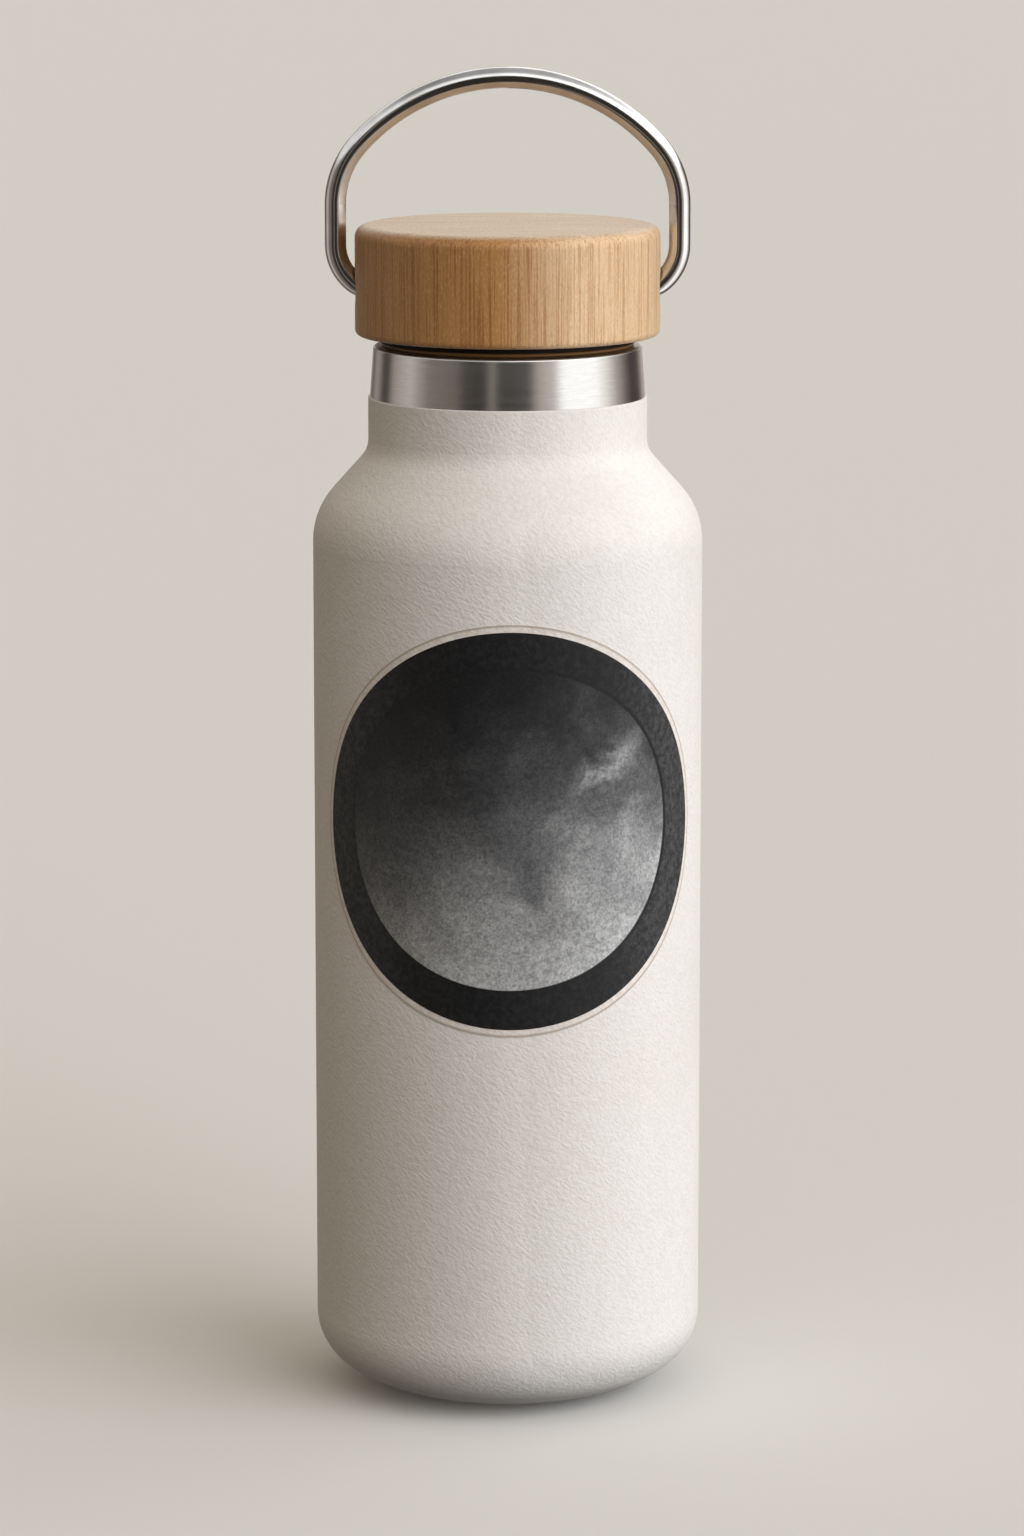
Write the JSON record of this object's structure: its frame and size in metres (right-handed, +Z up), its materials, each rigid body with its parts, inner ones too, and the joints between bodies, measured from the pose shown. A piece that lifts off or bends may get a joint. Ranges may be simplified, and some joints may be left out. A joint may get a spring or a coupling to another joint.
{
  "type": "insulated canteen",
  "caption": "Double-wall vacuum drinking canteen with pebbled coat, bare steel collar, screw-in bamboo lid and swinging wire bail.",
  "frame": {"origin": "centre of the foot ring on the surface the canteen stands on", "axes": "+Z up along the bottle's axis, +X along the bail's pivot axis, -Y towards the label"},
  "size_m": [0.073, 0.0732, 0.2505],
  "materials": {
    "powder_coat": "fine pebbled powder coat, satin",
    "steel_wall": "brushed round the axis",
    "steel_cover": "spun",
    "copper_foil": "bright foil",
    "getter_metal": "dull sintered metal",
    "seal_glass": "solder glass",
    "label_film": "satin vinyl",
    "label_ink": "matt print, cloudy grey inner disc",
    "bamboo": "oiled, fine straight grain",
    "lid_plastic": "moulded, satin",
    "lid_foam": "closed-cell foam",
    "silicone": "soft, matt",
    "nylon": "natural nylon",
    "screw_steel": "bright zinc",
    "bail_steel": "polished"
  },
  "bodies": {
    "bottle": {"outer_shell": "steel_wall", "outer_base": "steel_wall", "base_cover": "steel_cover", "textured_coating": "powder_coat", "inner_vessel": "steel_wall", "inner_bottom": "steel_wall", "heat_shield_foil": "copper_foil", "getter_pellet": "getter_metal", "getter_clip": "steel_cover", "vacuum_seal_bead": "seal_glass", "label_vinyl": "label_film", "label_print": "label_ink"},
    "seal": {"lid_gasket": "silicone"},
    "lid": {"bamboo_cap": "bamboo", "lid_plug": "lid_plastic", "plug_insulation": "lid_foam", "plug_bottom_disc": "steel_cover", "disc_seal": "silicone", "pivot_bush_left": "nylon", "pivot_bush_right": "nylon", "lid_screws": "screw_steel"},
    "bail": {"bail_handle": "bail_steel"}
  },
  "joints": [
    {"name": "lid_lift", "type": "slide", "parent": "bottle", "child": "seal", "axis": [0, 0, 1], "range_m": [0, 0.02401]},
    {"name": "lid_turn", "type": "hinge", "parent": "seal", "child": "lid", "pos_m": [0, 0, 0.2], "axis": [0, 0, 1], "range_deg": [0, 1080]},
    {"name": "bail_swing", "type": "hinge", "parent": "lid", "child": "bail", "pos_m": [0, 0, 0.2097], "axis": [1, 0, 0], "range_deg": [-132, 132]}
  ],
  "couplings": [
    {"joint": "lid_lift", "follows": "lid_turn", "m_per_rad": 0.0012732}
  ]
}
